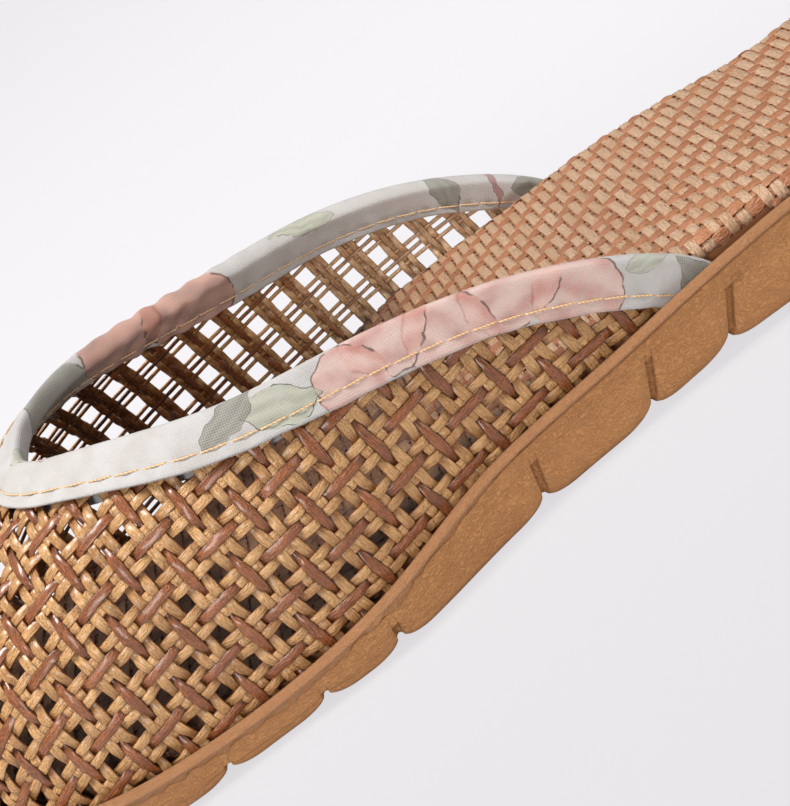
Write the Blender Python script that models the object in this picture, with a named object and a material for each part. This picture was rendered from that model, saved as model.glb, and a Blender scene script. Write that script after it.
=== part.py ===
"""Woven slipper for a right foot: cup sole, footbed, open woven upper and a tape round its throat.

The shoe is laid out along +Y, heel to toe, with the big-toe side at -X. Every piece is a loft that is
worked out from one table of sections, so the rim, the footbed's edge and the upper's wall follow each
other. Stations run from the back of the heel. Sizes are in millimetres and are scaled to metres as
meshes are made.
"""

import math

import bpy
import numpy as np

MM = 0.001

LENGTH = 260.0  # heel back to toe tip, at the rim
HEEL_ROUND = 34.0  # length of the rounded heel end
TOE_ROUND = 50.0  # length of the rounded toe end
HEEL_POWER = 2.1  # roundness of the heel in plan, 2 being an ellipse
INNER_TOE_POWER = 2.3  # the big-toe side's roundness at the toe
OUTER_TOE_POWER = 2.0  # the little-toe side's roundness at the toe

# station: from the heel back. inner, outer: half widths on the big-toe and little-toe sides.
# rim: height of the rim's top. crown: height of the upper's top above the rim.
# power: of the upper's superellipse section, 2 being an ellipse and more being boxier.
# seat: how far the footbed's edge lies inside the sole's outline.
SECTION_COLUMNS = ("station", "inner", "outer", "rim", "crown", "power", "seat")
SECTIONS = (
    (0.0, 32.0, 30.0, 16.5, 51.0, 3.0, 2.6),
    (35.0, 32.5, 30.5, 15.5, 51.0, 3.0, 2.6),
    (65.0, 32.0, 29.4, 14.1, 51.0, 3.0, 2.6),
    (85.0, 30.6, 34.8, 15.2, 51.0, 3.0, 2.7),
    (97.0, 31.3, 40.6, 15.0, 51.0, 3.0, 4.6),
    (120.0, 31.9, 46.8, 13.1, 50.8, 3.0, 4.6),
    (145.0, 34.6, 50.4, 12.0, 46.0, 3.0, 4.6),
    (170.0, 41.3, 46.4, 8.9, 45.4, 3.0, 4.6),
    (195.0, 41.3, 42.8, 7.0, 45.0, 3.0, 4.6),
    (220.0, 40.6, 42.6, 9.0, 37.0, 2.7, 4.8),
    (260.0, 34.0, 37.0, 16.5, 28.0, 2.3, 5.8),
)

# Sole: the bottom lifts at the waist, the toe and the heel's back edge.
ARCH_START, ARCH_END, ARCH_LIFT = 78.0, 128.0, 1.2
TOE_SPRING_START, TOE_SPRING = 206.0, 8.5
HEEL_LIFT_END, HEEL_LIFT = 12.0, 1.5
TRAY_DEPTH = 4.2  # from the rim's top to the floor that the footbed lies on

# Profile of the sole from the tread up over the rim and down into the tray: how far inside the outline,
# and how high above the tread (first group) or above the rim's top (second group).
TREAD_PROFILE = ((3.4, 0.0), (1.7, 0.4), (0.7, 1.4), (0.3, 3.0))
RIM_PROFILE = (
    (0.3, -2.9),
    (-0.2, -2.3),
    (-0.3, -1.3),
    (0.1, -0.4),
    (0.9, 0.0),
    (1.7, -0.2),
    (2.2, -0.9),
    (2.3, -TRAY_DEPTH),
)

# Lugs: a shallow valley crosses the tread at each notch, and a slot runs up the side from it.
# station: where the notch meets the floor. slant: lean of the slot, foot towards the toe, in degrees.
NOTCH_COLUMNS = ("station", "slant")
NOTCHES = (
    (22.0, 26.0),
    (43.0, 28.0),
    (64.0, 29.0),
    (85.0, 29.0),
    (105.5, 29.0),
    (120.5, 25.0),
    (141.5, 14.0),
    (171.0, 10.0),
    (185.5, 12.0),
    (204.0, 14.0),
    (223.0, 14.0),
    (242.0, 14.0),
)
VALLEY_REACH, VALLEY_DEPTH = 5.5, 1.8  # how far each lug's edge is rounded, and how high
VALLEY_FLOOR = 0.8  # width of the groove between two rounded edges
SLOT_WIDTH, SLOT_DEPTH = 1.3, 0.9
SLOT_TOP = 4.2  # distance from the slot's top to the rim's top

# Footbed: a pad whose rounded edge stands above the rim.
GAP = 0.3
INSOLE_RISE = 2.7  # top of the footbed above the rim's top
# How far inside its seat line, and height: above the tray floor in the first group, above the rim's top
# in the second.
INSOLE_LOWER = ((0.6, GAP), (0.0, 1.0))
INSOLE_UPPER = ((0.0, 0.6), (0.3, 1.6), (1.1, 2.3), (2.4, INSOLE_RISE))

# Upper: superellipse sections over the foot, closed in front by the rounded toe.
UPPER_INSET = 2.6  # outer face of the upper, inside the sole's outline
UPPER_WALL = 1.6
UPPER_TUCK = 3.4  # how far the upper's lower edge goes down behind the rim
CROWN_ROUND = 40.0  # length of the upper's rounded front, seen from the side
THROAT_CENTRE = 204.5  # station of the throat's front, on the crown
THROAT_INNER, THROAT_OUTER = 100.5, 104.0  # stations where the throat meets the sole
THROAT_INNER_POWER, THROAT_OUTER_POWER = 0.91, 0.88
THROAT_ROUND = 1.5  # more makes the throat's front flatter across

# Binding: a tape folded over the throat's edge.
TAPE = 0.7
TAPE_GAP, TAPE_GAP_INSIDE = 0.35, 0.6  # between the tape and the upper's outer and inner faces
TAPE_WIDTH = 7.0
TAPE_FOLD = 1.2  # how far the fold stands off the edge

RING_STEPS = 56  # points along each side of an outline
UPPER_ROUND, UPPER_LONG = 48, 24  # points round and along the upper
BINDING_OVERRUN = 1  # steps of the upper's own rounds by which the tape runs past it, before trimming

MATERIALS = {
    "outsole": ((0.52, 0.29, 0.16), 0.55),
    "insole": ((0.50, 0.29, 0.15), 0.60),
    "upper": ((0.46, 0.27, 0.13), 0.50),
    "throat_binding": ((0.78, 0.74, 0.71), 0.85),
}


def column(table, columns, name):
    """One named column of a table, as an array."""
    return np.array([row[columns.index(name)] for row in table])


def smooth(name, station):
    """A section column at any station: a cubic through the rows, whose slope at a row is that of the
    parabola through it and its two neighbours."""
    at = column(SECTIONS, SECTION_COLUMNS, "station")
    value = column(SECTIONS, SECTION_COLUMNS, name)
    step = np.diff(at)
    rise = np.diff(value) / step
    slope = np.empty(len(at))
    slope[1:-1] = (rise[:-1] * step[1:] + rise[1:] * step[:-1]) / (step[1:] + step[:-1])
    slope[0], slope[-1] = rise[0], rise[-1]
    station = np.clip(station, at[0], at[-1])
    k = np.clip(np.searchsorted(at, station, side="right") - 1, 0, len(at) - 2)
    t = (station - at[k]) / step[k]
    ends = (2 * t**3 - 3 * t**2 + 1) * value[k] + (3 * t**2 - 2 * t**3) * value[k + 1]
    slopes = (t**3 - 2 * t**2 + t) * slope[k] + (t**3 - t**2) * slope[k + 1]
    return ends + slopes * step[k]


def rounding(distance, length, power):
    """1 away from an end, falling to 0 at it as a superellipse does over the given length."""
    t = np.clip(1 - distance / length, 0, 1)
    return (1 - t**power) ** (1 / power)


def half_width(name, station):
    """Plan half width of the rim on one side, rounded off at heel and toe."""
    toe_power = INNER_TOE_POWER if name == "inner" else OUTER_TOE_POWER
    heel = rounding(station, HEEL_ROUND, HEEL_POWER)
    toe = rounding(LENGTH - station, TOE_ROUND, toe_power)
    return smooth(name, station) * heel * toe


def outline(inset, steps):
    """The sole's plan outline moved inwards: (inner side, outer side), each from heel to toe as x, y rows.

    The stations are LENGTH / 2 (1 - cos a) for even steps of a, so they crowd towards the ends."""
    fine = 720
    angle = np.linspace(0, math.pi, fine + 1)
    station = LENGTH / 2 * (1 - np.cos(angle))
    inner = np.stack([-half_width("inner", station), station], axis=1)
    outer = np.stack([half_width("outer", station), station], axis=1)
    loop = np.concatenate([inner, outer[-2:0:-1]])
    along = np.roll(loop, -1, axis=0) - np.roll(loop, 1, axis=0)
    along /= np.linalg.norm(along, axis=1)[:, None]
    inwards = np.stack([along[:, 1], -along[:, 0]], axis=1)
    inset = np.broadcast_to(inset(loop[:, 1]) if callable(inset) else inset, len(loop))
    moved = loop + inwards * inset[:, None]
    moved[0, 0] = moved[fine, 0] = 0.0
    pick = np.linspace(0, fine, steps + 1).astype(int)
    return moved[pick], moved[(2 * fine - pick) % (2 * fine)]


def tread(station):
    """Height of the sole's bottom: level, but for the waist, the toe spring and the back of the heel."""
    arch = np.clip((station - ARCH_START) / (ARCH_END - ARCH_START), 0, 1)
    toe = np.clip((station - TOE_SPRING_START) / (LENGTH - TOE_SPRING_START), 0, 1)
    heel = np.clip(1 - station / HEEL_LIFT_END, 0, 1)
    return ARCH_LIFT * np.sin(math.pi * arch) ** 2 + TOE_SPRING * toe**2 + HEEL_LIFT * heel**2


def rim(station):
    return smooth("rim", station)


def middle():
    """Centre of the sole's plan box, which the finished shoe has over its origin."""
    inner, outer = outline(min(row[0] for row in RIM_PROFILE), 720)
    return (inner[:, 0].min() + outer[:, 0].max()) / 2, LENGTH / 2


def collection(name):
    made = bpy.data.collections.new(name)
    bpy.context.scene.collection.children.link(made)
    return made


def add_mesh(name, points, faces, home):
    """An object from points in millimetres, on the shoe's own origin."""
    centre = np.array([*middle(), 0.0])
    mesh = bpy.data.meshes.new(name)
    mesh.from_pydata(((np.asarray(points) - centre) * MM).tolist(), [], faces)
    mesh.validate()
    obj = bpy.data.objects.new(name, mesh)
    home.objects.link(obj)
    if name in MATERIALS:
        colour, roughness = MATERIALS[name]
        material = bpy.data.materials.new(name)
        material.use_nodes = True
        shader = material.node_tree.nodes["Principled BSDF"]
        shader.inputs["Base Color"].default_value = (*colour, 1.0)
        shader.inputs["Roughness"].default_value = roughness
        shader.inputs["Metallic"].default_value = 0.0
        mesh.materials.append(material)
        mesh.shade_smooth()
        mesh.set_sharp_from_angle(angle=math.radians(40))
    return obj


def stacked_rings(rings):
    """Closed solid from plan outlines stacked from the bottom up, capped by strips across the shoe.

    A ring is (inner side, outer side), each as x, y, z rows from heel to toe, sharing both end points."""
    sides = len(rings[0][0])
    size = 2 * sides - 2
    points = np.concatenate([np.concatenate([a, b[-2:0:-1]]) for a, b in rings])
    faces = []
    for level in range(len(rings) - 1):
        low, high = level * size, (level + 1) * size
        for i in range(size):
            j = (i + 1) % size
            faces.append((low + i, high + i, high + j, low + j))
    for base, upwards in ((0, False), ((len(rings) - 1) * size, True)):
        for i in range(sides - 1):
            strip = [base + i, base + i + 1]
            strip += [base + (size - i - 1) % size, base + (size - i) % size]
            strip = list(dict.fromkeys(strip))
            faces.append(tuple(reversed(strip)) if upwards else tuple(strip))
    return points, faces


def ring(inset, height):
    """Outline moved inwards by inset, at the height that the function gives for each station."""
    return tuple(
        np.column_stack([side, height(side[:, 1])]) for side in outline(inset, RING_STEPS)
    )


def outsole(home, cutters):
    rings = [ring(inset, lambda y, h=h: tread(y) + h) for inset, h in TREAD_PROFILE]
    rings += [ring(inset, lambda y, h=h: rim(y) + h) for inset, h in RIM_PROFILE]
    obj = add_mesh("outsole", *stacked_rings(rings), home)
    cut = obj.modifiers.new("notches", "BOOLEAN")
    cut.operation = "DIFFERENCE"
    cut.operand_type = "COLLECTION"
    cut.collection = cutters
    cut.solver = "EXACT"
    return obj


def prism(name, outline_yz, half_length, home):
    """Bar along X with the given y, z outline, counter-clockwise as seen from +X."""
    count = len(outline_yz)
    points = [(x, y, z) for x in (-half_length, half_length) for y, z in outline_yz]
    faces = [tuple(reversed(range(count))), tuple(range(count, 2 * count))]
    for i in range(count):
        j = (i + 1) % count
        faces.append((i, j, count + j, count + i))
    return add_mesh(name, points, faces, home)


def valley_cutter(station, home):
    """Valley across the tread between two lugs, whose edges are quarter ellipses."""
    below = -4.0
    base = float(tread(np.array(station)))
    top = []
    for away in np.linspace(1.0, 0.0, 7):
        rise = 1 - math.sqrt(1 - (1 - away) ** 2)
        top.append((station + VALLEY_FLOOR / 2 + VALLEY_REACH * away, base - 0.02 + VALLEY_DEPTH * rise))
    top += [(2 * station - y, z) for y, z in reversed(top)]
    foot = [(top[-1][0], below), (top[0][0], below)]
    prism(f"valley_{station:.0f}", foot + top, 70.0, home)


def slot_cutter(station, slant, side, home):
    """Slot up the side wall, square to the outline and leaning back towards the heel as it rises."""
    name = "inner" if side < 0 else "outer"
    top = float(rim(np.array(station))) - SLOT_TOP
    low = -3.0
    lean = math.tan(math.radians(slant))
    points = []
    for z in (low, top):
        y = station - lean * (z - float(tread(np.array(station))))
        edge = np.array([y - 0.5, y + 0.5])
        widths = half_width(name, edge)
        along = np.array([side * (widths[1] - widths[0]), 1.0])
        along /= np.linalg.norm(along)
        out = np.array([side * along[1], -side * along[0]])
        at = np.array([side * widths.mean(), y])
        for step, depth in ((-1, -SLOT_DEPTH), (1, -SLOT_DEPTH), (1, 3.0), (-1, 3.0)):
            # The side draws in towards the tread, so the slot's floor does too.
            drawn = depth - (0.9 if z == low and depth < 0 else 0.3 if depth < 0 else 0.0)
            x, y_corner = at + along * step * SLOT_WIDTH / 2 + out * drawn
            points.append((x, y_corner, z))
    faces = [(0, 1, 2, 3), (7, 6, 5, 4), (1, 0, 4, 5), (2, 1, 5, 6), (3, 2, 6, 7), (0, 3, 7, 4)]
    if side < 0:
        faces = [tuple(reversed(face)) for face in faces]
    add_mesh(f"slot_{name}_{station:.0f}", points, faces, home)


def insole(home):
    def seat(extra):
        return lambda y: smooth("seat", y) + extra

    floor = [ring(seat(e), lambda y, h=h: rim(y) - TRAY_DEPTH + h) for e, h in INSOLE_LOWER]
    upper_rings = [ring(seat(e), lambda y, h=h: rim(y) + h) for e, h in INSOLE_UPPER]
    return add_mesh("insole", *stacked_rings(floor + upper_rings), home)


def unit_section(turn, power):
    """Point of the unit superellipse at a turn from 0, the inner foot, over the crown to pi."""
    across, up = np.cos(turn), np.sin(turn)
    size = (np.abs(across) ** power + np.abs(up) ** power) ** (1 / power)
    return across / size, up / size


def upper_surface(station, turn, proud):
    """The upper's outer face, moved out by proud: each section is half a superellipse between the two
    sides of the inset outline, as high as the crown, which rounds down to the sole at the toe."""
    inner, outer = outline(UPPER_INSET - proud, 720)
    left = np.interp(station, inner[:, 1], -inner[:, 0])
    right = np.interp(station, outer[:, 1], outer[:, 0])
    end = LENGTH - UPPER_INSET + proud
    foot = rim(station) - UPPER_TUCK
    height = (smooth("crown", station) + UPPER_TUCK + proud) * rounding(end - station, CROWN_ROUND, 2.0)
    across, up = unit_section(turn, smooth("power", station))
    x = (right - left) / 2 - (right + left) / 2 * across
    return np.stack([x, station + 0 * turn, foot + height * up], axis=-1)


def throat(turn):
    """Station of the throat's edge: back at the sole on either side, and forward at the crown."""
    rise = np.clip(unit_section(turn, 3.0)[1], 0, 1) ** THROAT_ROUND
    inner = turn < math.pi / 2
    back = np.where(inner, THROAT_INNER, THROAT_OUTER)
    power = np.where(inner, THROAT_INNER_POWER, THROAT_OUTER_POWER)
    return THROAT_CENTRE - (THROAT_CENTRE - back) * (1 - rise) ** power


def upper(home):
    """Outer and inner faces on the same grid, joined at the throat and along the lower edge. Each face
    runs from the throat to one point at the toe."""
    turn = np.linspace(0, math.pi, UPPER_ROUND + 1)
    even = np.linspace(0, 1, UPPER_LONG + 1)[:-1]
    along = (even + np.sin(math.pi / 2 * even)) / 2
    points, faces = [], []
    width = UPPER_ROUND + 1
    for proud in (0.0, -UPPER_WALL):
        end = LENGTH - UPPER_INSET + proud
        start = throat(turn)
        station = start + (end - start) * along[:, None]
        grid = upper_surface(station, np.broadcast_to(turn, station.shape), proud)
        points.append(grid.reshape(-1, 3))
        points.append(np.array([[0.0, end, float(rim(np.array(end))) - UPPER_TUCK]]))
    count = UPPER_LONG * width + 1
    for base, outside in ((0, True), (count, False)):
        tip = base + count - 1
        for i in range(UPPER_LONG):
            for j in range(UPPER_ROUND):
                a, b = base + i * width + j, base + i * width + j + 1
                face = (a, b, tip) if i == UPPER_LONG - 1 else (a, b, b + width, a + width)
                faces.append(face if outside else tuple(reversed(face)))
    for j in range(UPPER_ROUND):
        faces.append((j, count + j, count + j + 1, j + 1))
    for j, inner in ((0, True), (UPPER_ROUND, False)):
        for i in range(UPPER_LONG):
            a = i * width + j
            b = a + width if i < UPPER_LONG - 1 else count - 1
            face = (a, b, b + count, a + count)
            faces.append(face if inner else tuple(reversed(face)))
    return add_mesh("upper", np.concatenate(points), faces, home)


def tape_section():
    """Closed profile of the folded tape as (distance in from the edge, how proud of the outer face)."""
    legs = np.linspace(1.0, 0.0, 4) * TAPE_WIDTH
    near = -UPPER_WALL - TAPE_GAP_INSIDE
    far = near - TAPE
    middle_line = -UPPER_WALL / 2
    profile = [(w, TAPE_GAP + TAPE) for w in legs]
    profile += [(-TAPE_FOLD * 0.8, TAPE_GAP), (-TAPE_FOLD, middle_line), (-TAPE_FOLD * 0.8, near)]
    profile += [(w, far) for w in legs[::-1]]
    profile += [(w, near) for w in legs]
    profile += [(-TAPE_GAP, middle_line)]
    profile += [(w, TAPE_GAP) for w in legs[::-1]]
    return np.array(profile)


def throat_binding(home, cutters):
    """The tape's profile carried round the throat, on the upper's own surface, and trimmed where it
    meets the rim and the footbed."""
    steps = UPPER_ROUND + 2 * BINDING_OVERRUN
    turn = (np.arange(steps + 1) - BINDING_OVERRUN) * math.pi / UPPER_ROUND
    start = throat(turn)
    at = upper_surface(start, turn, 0.0)
    step = 0.01
    by_station = upper_surface(start + 1.0, turn, 0.0) - at
    ahead, behind = (upper_surface(start, turn + side * step, 0.0) for side in (1, -1))
    by_turn = (ahead - behind) / (2 * step)
    edge = np.gradient(at, axis=0)
    edge /= np.linalg.norm(edge, axis=1)[:, None]
    # The direction in the surface square to the edge, as amounts of station and turn.
    square = by_station - edge * (by_station * edge).sum(axis=1)[:, None]
    square /= np.linalg.norm(square, axis=1)[:, None]
    grams = np.empty((len(turn), 2, 2))
    grams[:, 0, 0] = (by_station**2).sum(axis=1)
    grams[:, 0, 1] = grams[:, 1, 0] = (by_station * by_turn).sum(axis=1)
    grams[:, 1, 1] = (by_turn**2).sum(axis=1)
    sides = np.stack([(square * by_station).sum(axis=1), (square * by_turn).sum(axis=1)], axis=1)
    amounts = np.linalg.solve(grams, sides[:, :, None])[:, :, 0]
    loops = [
        upper_surface(start + w * amounts[:, 0], turn + w * amounts[:, 1], proud)
        for w, proud in tape_section()
    ]
    rows = np.stack(loops, axis=1)
    count = rows.shape[1]
    faces = []
    for i in range(steps):
        for j in range(count):
            k = (j + 1) % count
            a, b = i * count, (i + 1) * count
            faces.append((a + j, a + k, b + k, b + j))
    faces.append(tuple(reversed(range(count))))
    faces.append(tuple(steps * count + j for j in range(count)))
    obj = add_mesh("throat_binding", rows.reshape(-1, 3), faces, home)
    cut = obj.modifiers.new("trim", "BOOLEAN")
    cut.operation = "DIFFERENCE"
    cut.operand_type = "COLLECTION"
    cut.collection = cutters
    cut.solver = "EXACT"
    return obj


def rim_trim(home):
    """Block up to just above the rim's top, wider than the shoe."""
    first, last = 70.0, 150.0
    top = [(y, float(rim(y)) + GAP) for y in np.linspace(last, first, 17)]
    prism("rim_trim", [(first, -5.0), (last, -5.0)] + top, 90.0, home)


def footbed_trim(home):
    """Prism inside the upper, up to just above the footbed's top."""
    inset = UPPER_INSET + UPPER_WALL + GAP / 2
    low = ring(inset, lambda y: 0 * y - 5.0)
    high = ring(inset, lambda y: rim(y) + INSOLE_RISE + GAP)
    return add_mesh("footbed_trim", *stacked_rings([low, high]), home)


def hide(cutters):
    for obj in cutters.objects:
        obj.hide_render = True
        obj.display_type = "WIRE"


for old in list(bpy.data.objects):
    bpy.data.objects.remove(old, do_unlink=True)

slipper = collection("slipper")
notch_cutters = collection("notch_cutters")
trim_cutters = collection("trim_cutters")
for notch_station, notch_slant in NOTCHES:
    valley_cutter(notch_station, notch_cutters)
    for notch_side in (-1, 1):
        slot_cutter(notch_station, notch_slant, notch_side, notch_cutters)
rim_trim(trim_cutters)
footbed_trim(trim_cutters)
hide(notch_cutters)
hide(trim_cutters)
outsole(slipper, notch_cutters)
insole(slipper)
upper(slipper)
throat_binding(slipper, trim_cutters)
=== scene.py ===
"""Woven slipper for the right foot: the finish of every piece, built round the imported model.

The shoe lies along +Y, heel to toe, with its big-toe side at -X. Shapes are worked out in millimetres from
the heel's back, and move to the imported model's place in metres as each mesh is made. The sections follow
the shoe as it is put together: outsole, footbed, woven upper, throat binding. The studio comes last.
"""

import math

import bpy
import numpy as np
from mathutils import Matrix, Vector


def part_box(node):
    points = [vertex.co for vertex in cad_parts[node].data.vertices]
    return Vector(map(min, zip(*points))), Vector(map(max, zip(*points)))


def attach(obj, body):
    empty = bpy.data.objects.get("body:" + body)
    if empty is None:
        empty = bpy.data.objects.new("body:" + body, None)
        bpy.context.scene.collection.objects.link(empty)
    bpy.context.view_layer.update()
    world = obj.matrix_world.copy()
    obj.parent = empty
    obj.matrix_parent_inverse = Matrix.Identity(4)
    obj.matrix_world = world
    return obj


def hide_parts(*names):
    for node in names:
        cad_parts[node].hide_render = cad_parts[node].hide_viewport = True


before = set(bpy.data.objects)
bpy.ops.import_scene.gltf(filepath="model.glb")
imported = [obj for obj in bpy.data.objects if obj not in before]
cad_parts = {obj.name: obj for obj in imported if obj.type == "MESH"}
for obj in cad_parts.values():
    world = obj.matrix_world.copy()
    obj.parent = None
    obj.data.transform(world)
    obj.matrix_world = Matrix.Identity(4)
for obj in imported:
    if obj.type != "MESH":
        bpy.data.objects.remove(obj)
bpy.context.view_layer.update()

# ---- Outsole ----------------------------------------------------------------------------------------
# The real piece is one moulding of tan foam rubber: a thin cup sole with a rolled rim, cut into lugs by
# slanting slots along its sides. The mould's leather grain is on the walls, and its joint left a ragged
# line of flash under the rim.

MM = 0.001
LENGTH = 260.0  # heel back to toe tip, at the rim
HEEL_ROUND, TOE_ROUND = 34.0, 50.0  # lengths of the rounded ends
HEEL_POWER, INNER_TOE_POWER, OUTER_TOE_POWER = 2.1, 2.3, 2.0  # roundness in plan, 2 being an ellipse

# station: from the heel back. inner, outer: half widths on the big-toe and little-toe sides.
# rim: height of the rim's top. crown: height of the upper's top above the rim.
# power: of the upper's superellipse section, 2 being an ellipse and more being boxier.
# seat: how far the footbed's edge lies inside the sole's outline.
SECTION_COLUMNS = ("station", "inner", "outer", "rim", "crown", "power", "seat")
SECTIONS = (
    (0.0, 32.0, 30.0, 16.5, 51.0, 3.0, 2.6),
    (35.0, 32.5, 30.5, 15.5, 51.0, 3.0, 2.6),
    (65.0, 32.0, 29.4, 14.1, 51.0, 3.0, 2.6),
    (85.0, 30.6, 34.8, 15.2, 51.0, 3.0, 2.7),
    (97.0, 31.3, 40.6, 15.0, 51.0, 3.0, 4.6),
    (120.0, 31.9, 46.8, 13.1, 50.8, 3.0, 4.6),
    (145.0, 34.6, 50.4, 12.0, 46.0, 3.0, 4.6),
    (170.0, 41.3, 46.4, 8.9, 45.4, 3.0, 4.6),
    (195.0, 41.3, 42.8, 7.0, 45.0, 3.0, 4.6),
    (220.0, 40.6, 42.6, 9.0, 37.0, 2.7, 4.8),
    (260.0, 34.0, 37.0, 16.5, 28.0, 2.3, 5.8),
)
ARCH_START, ARCH_END, ARCH_LIFT = 78.0, 128.0, 1.2
TOE_SPRING_START, TOE_SPRING = 206.0, 8.5
HEEL_LIFT_END, HEEL_LIFT = 12.0, 1.5

# Slots: station where each meets the floor, and how far it leans, foot towards the toe, in degrees.
NOTCHES = (
    (22.0, 26.0),
    (43.0, 28.0),
    (64.0, 29.0),
    (85.0, 29.0),
    (105.5, 29.0),
    (120.5, 25.0),
    (141.5, 14.0),
    (171.0, 10.0),
    (185.5, 12.0),
    (204.0, 14.0),
    (223.0, 14.0),
    (242.0, 14.0),
)
VALLEY_REACH, VALLEY_DEPTH, VALLEY_FLOOR = 5.5, 1.8, 0.8
SLOT_DEPTH, SLOT_SWELL = 0.9, 0.16  # of the slot's floor, and of the wall's softened edge beside it
SLOT_COLUMNS = (-1.0, -0.82, -0.7, -0.6, -0.45, 0.0, 0.45, 0.6, 0.7, 0.82, 1.0)  # mm either side of a slot
SLOT_CLEAR = 1.05  # no other column is so near a slot
SLOT_EDGE, SLOT_OUTSIDE = 0.6, 0.72  # half widths of the slot's floor and of its mouth
SLOT_TOP = 4.2  # from the slot's top to the rim's top

# Rows of the wall's foot: inset, and height above the floor.
FOOT_ROWS = ((3.4, 0.0), (2.4, 0.1), (1.7, 0.35), (1.1, 0.85), (0.72, 1.35), (0.64, 1.55), (0.5, 2.0))
WALL_ROWS, WALL_INSET, WALL_DRAFT = 10, 0.3, 0.2
SLOT_ROWS = (1.6, 1.45, 1.35, 1.25, 1.15, 0.9, 0.5)  # below the lip's underside
# Rows of the lip: inset, height from the rim's top, how far it hangs with the flash, whether it is torn,
# and painted shade, where -1 marks the bead. The flash lies over a thin crevice, under the bead, and the
# painted shade darkens that crevice.
LIP_ROWS = (
    (0.3, -2.95, 0, 0, 0),
    (0.26, -2.2, 0, 0, 0),
    (0.2, -1.7, 0.5, 0, 0),
    (0.28, -1.54, 0.9, 0, 0.3),
    (0.56, -1.45, 0.9, 0, 1.5),
    (0.52, -1.37, 1, 1, 1.3),
    (-0.02, -1.33, 1, 1, 0.1),
    (-0.16, -1.22, 0.25, 1, -1),
    (-0.24, -1.08, 0, 0, -1),
    (-0.28, -0.92, 0, 0, -1),
    (-0.2, -0.7, 0, 0, -1),
    (-0.02, -0.42, 0, 0, -1),
    (0.24, -0.19, 0, 0, -1),
    (0.55, -0.05, 0, 0, -1),
    (0.9, 0.0, 0, 0, -1),
    (1.3, -0.04, 0, 0, -1),
    (1.7, -0.2, 0, 0, -1),
    (2.05, -0.5, 0, 0, -1),
    (2.2, -0.9, 0, 0, -1),
    (2.3, -2.2, 0, 0, -1),
    (2.3, -4.2, 0, 0, -1),
)
FLASH_RISE, FLASH_REACH, FLASH_HANG = 0.17, 0.14, 1.1  # mm up, out and down
FLASH_COARSE, FLASH_HANGS = (110.0, 50.0), (142.0, 26.0)  # where each begins, and how soon it is full
EVEN_COLUMNS = 540
BUMP_STATION, BUMP_HEIGHT, BUMP_RADIUS = 98.8, 9.6, 1.1  # ejector mark on the inner wall

STEPS = 720
ANGLES = np.linspace(0, math.pi, STEPS + 1)


def smooth(name, station):
    """A section column at any station: a cubic through the rows, whose slope at a row is that of the
    parabola through it and its two neighbours."""
    table = np.array(SECTIONS)
    at, value = table[:, 0], table[:, SECTION_COLUMNS.index(name)]
    step = np.diff(at)
    rise = np.diff(value) / step
    slope = np.empty(len(at))
    slope[1:-1] = (rise[:-1] * step[1:] + rise[1:] * step[:-1]) / (step[1:] + step[:-1])
    slope[0], slope[-1] = rise[0], rise[-1]
    station = np.clip(station, at[0], at[-1])
    k = np.clip(np.searchsorted(at, station, side="right") - 1, 0, len(at) - 2)
    t = (station - at[k]) / step[k]
    ends = (2 * t**3 - 3 * t**2 + 1) * value[k] + (3 * t**2 - 2 * t**3) * value[k + 1]
    slopes = (t**3 - 2 * t**2 + t) * slope[k] + (t**3 - t**2) * slope[k + 1]
    return ends + slopes * step[k]


def rounding(distance, length, power):
    """1 away from an end, falling to 0 at it as a superellipse does over the given length."""
    t = np.clip(1 - distance / length, 0, 1)
    return (1 - t**power) ** (1 / power)


def eased(t):
    """Goes from 0 to 1 with level ends."""
    t = np.clip(t, 0, 1)
    return t * t * (3 - 2 * t)


def bell(distance, width):
    """1 at no distance, falling off on both sides as exp of minus the square of distance / width."""
    return np.exp(-((distance / width) ** 2))


def unit(vectors):
    """Vectors over their lengths, or near nothing where a vector has none."""
    return vectors / (np.linalg.norm(vectors, axis=-1, keepdims=True) + 1e-12)


def run_of(points):
    """Length of the line through the points, up to each of them."""
    return np.concatenate([[0], np.cumsum(np.linalg.norm(np.diff(points, axis=0), axis=1))])


def uneven(positions, spacing, seed):
    """Noise from -1 to 1 along a line: random values every so far, joined straight."""
    values = np.random.default_rng(seed).uniform(-1, 1, 1200)
    return np.interp(positions / spacing % (len(values) - 1), np.arange(len(values)), values)


def stations(steps):
    """Stations from heel to toe, closer at both ends: LENGTH / 2 (1 - cos a) for even steps of a."""
    return LENGTH / 2 * (1 - np.cos(np.linspace(0, math.pi, steps + 1)))


def half_width(side, station):
    """Plan half width of the rim on one side: the section's, times the rounding at heel and toe."""
    toe_power = INNER_TOE_POWER if side == "inner" else OUTER_TOE_POWER
    heel = rounding(station, HEEL_ROUND, HEEL_POWER)
    return smooth(side, station) * heel * rounding(LENGTH - station, TOE_ROUND, toe_power)


def inwards_of(loop):
    """Directions into a closed outline, square to the chord between each point's neighbours."""
    along = unit(np.roll(loop, -1, axis=0) - np.roll(loop, 1, axis=0))
    return np.stack([along[:, 1], -along[:, 0]], axis=1)


def plan_sides():
    """Each side of the plan outline from heel to toe, as (points, directions inwards)."""
    station = stations(STEPS)
    inner = np.stack([-half_width("inner", station), station], axis=1)
    outer = np.stack([half_width("outer", station), station], axis=1)
    loop = np.concatenate([inner, outer[-2:0:-1]])
    inwards = inwards_of(loop)
    inwards[0], inwards[STEPS] = (0, 1), (0, -1)
    there = np.arange(STEPS + 1)
    back = (2 * STEPS - there) % (2 * STEPS)
    return {"inner": (loop[there], inwards[there]), "outer": (loop[back], inwards[back])}


PLAN = plan_sides()


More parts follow.
